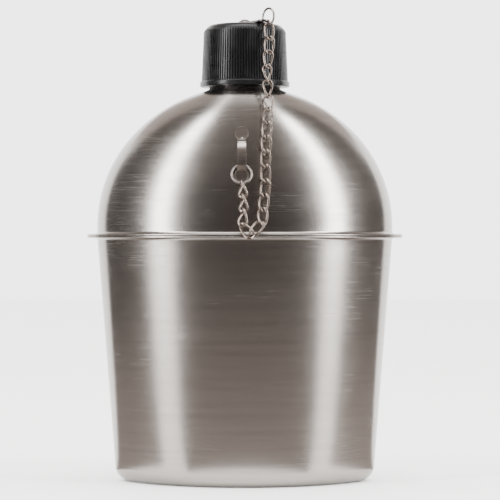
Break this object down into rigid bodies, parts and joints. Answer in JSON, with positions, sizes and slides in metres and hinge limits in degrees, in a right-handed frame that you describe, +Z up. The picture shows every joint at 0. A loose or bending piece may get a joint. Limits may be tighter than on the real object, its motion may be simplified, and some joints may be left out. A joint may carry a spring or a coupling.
{
  "type": "canteen",
  "caption": "Steel canteen with a kidney-shaped body, a seam flange round its middle, a domed shoulder and a ribbed screw cap held by a chain.",
  "frame": {"origin": "under the neck's axis, on the plane that the canteen stands on", "axes": "+Z up along the neck's axis, -Y out of the bulging front wall, +X to the right as seen from the front"},
  "size_m": [0.14, 0.0847, 0.2068],
  "materials": {
    "satin_steel": "satin with a fine level grain",
    "steel_trim": "bright, lightly tumbled",
    "chain_steel": "bright nickel plate",
    "cap_plastic": "satin black",
    "liner": "matt off-white"
  },
  "bodies": {
    "canteen": {"lower_shell": "satin_steel", "upper_shell": "satin_steel", "neck": "satin_steel", "chain_bracket": "satin_steel"},
    "swivel": {"swivel_tab": "steel_trim", "chain_link_01": "chain_steel", "chain_link_02": "chain_steel", "chain_link_03": "chain_steel", "chain_link_04": "chain_steel", "chain_link_05": "chain_steel", "chain_link_06": "chain_steel", "chain_link_07": "chain_steel", "chain_link_08": "chain_steel", "chain_link_09": "chain_steel", "chain_link_10": "chain_steel", "chain_link_11": "chain_steel", "chain_link_12": "chain_steel", "chain_link_13": "chain_steel", "chain_link_14": "chain_steel"},
    "cap": {"cap": "cap_plastic", "cap_liner": "liner", "liner_plate": "steel_trim", "cap_rivet": "steel_trim"},
    "cap_ring": {"cap_ring": "steel_trim"},
    "bracket_ring": {"bracket_ring": "steel_trim"},
    "link_15": {"chain_link_15": "chain_steel"},
    "link_16": {"chain_link_16": "chain_steel"},
    "link_17": {"chain_link_17": "chain_steel"},
    "link_18": {"chain_link_18": "chain_steel"},
    "link_19": {"chain_link_19": "chain_steel"}
  },
  "joints": [
    {"name": "cap_lift", "type": "slide", "parent": "canteen", "child": "swivel", "axis": [0, 0, 1], "range_m": [0, 0.025]},
    {"name": "cap_turn", "type": "hinge", "parent": "swivel", "child": "cap", "pos_m": [0, 0, 0.2], "axis": [0, 0, 1], "range_deg": [0, 2250.5]},
    {"name": "cap_ring_turn", "type": "hinge", "parent": "swivel", "child": "cap_ring", "pos_m": [0.01016, -0.01704, 0.2027], "axis": [0.766, 0.6428, 0], "range_deg": [-180, 180]},
    {"name": "link_15_curl", "type": "hinge", "parent": "swivel", "child": "link_15", "pos_m": [0.00749, -0.03794, 0.11411], "axis": [0, 1, 0], "range_deg": [-37.09, 0]},
    {"name": "link_16_curl", "type": "hinge", "parent": "link_15", "child": "link_16", "pos_m": [0.00229, -0.039, 0.1086], "axis": [0, 1, 0], "range_deg": [-2.13, 0]},
    {"name": "link_17_curl", "type": "hinge", "parent": "link_16", "child": "link_17", "pos_m": [-0.001, -0.03874, 0.11255], "axis": [0, 0.9836, -0.1805], "range_deg": [-61.89, 0]},
    {"name": "link_18_curl", "type": "hinge", "parent": "link_17", "child": "link_18", "pos_m": [-0.00048, -0.03631, 0.11979], "axis": [0, 0.9575, 0.2885], "range_deg": [0, 67.67]},
    {"name": "link_19_curl", "type": "hinge", "parent": "link_18", "child": "link_19", "pos_m": [-0.00065, -0.03454, 0.12462], "axis": [0, 0.9811, -0.1937], "range_deg": [0, 114.36]},
    {"name": "bracket_ring_rock", "type": "hinge", "parent": "canteen", "child": "bracket_ring", "pos_m": [-0.0013, -0.02865, 0.1389], "axis": [-0.8543, 0.5198, 0], "range_deg": [0, 19.01]}
  ],
  "couplings": [
    {"joint": "cap_turn", "follows": "cap_lift", "rad_per_m": 1570.8},
    {"joint": "link_15_curl", "follows": "cap_lift", "rad_per_m": -25.81},
    {"joint": "link_16_curl", "follows": "cap_lift", "rad_per_m": -1.4521},
    {"joint": "link_17_curl", "follows": "cap_lift", "rad_per_m": -43.089},
    {"joint": "link_18_curl", "follows": "cap_lift", "rad_per_m": 47.11},
    {"joint": "link_19_curl", "follows": "cap_lift", "rad_per_m": 79.643},
    {"joint": "bracket_ring_rock", "follows": "cap_lift", "rad_per_m": 13.202}
  ]
}
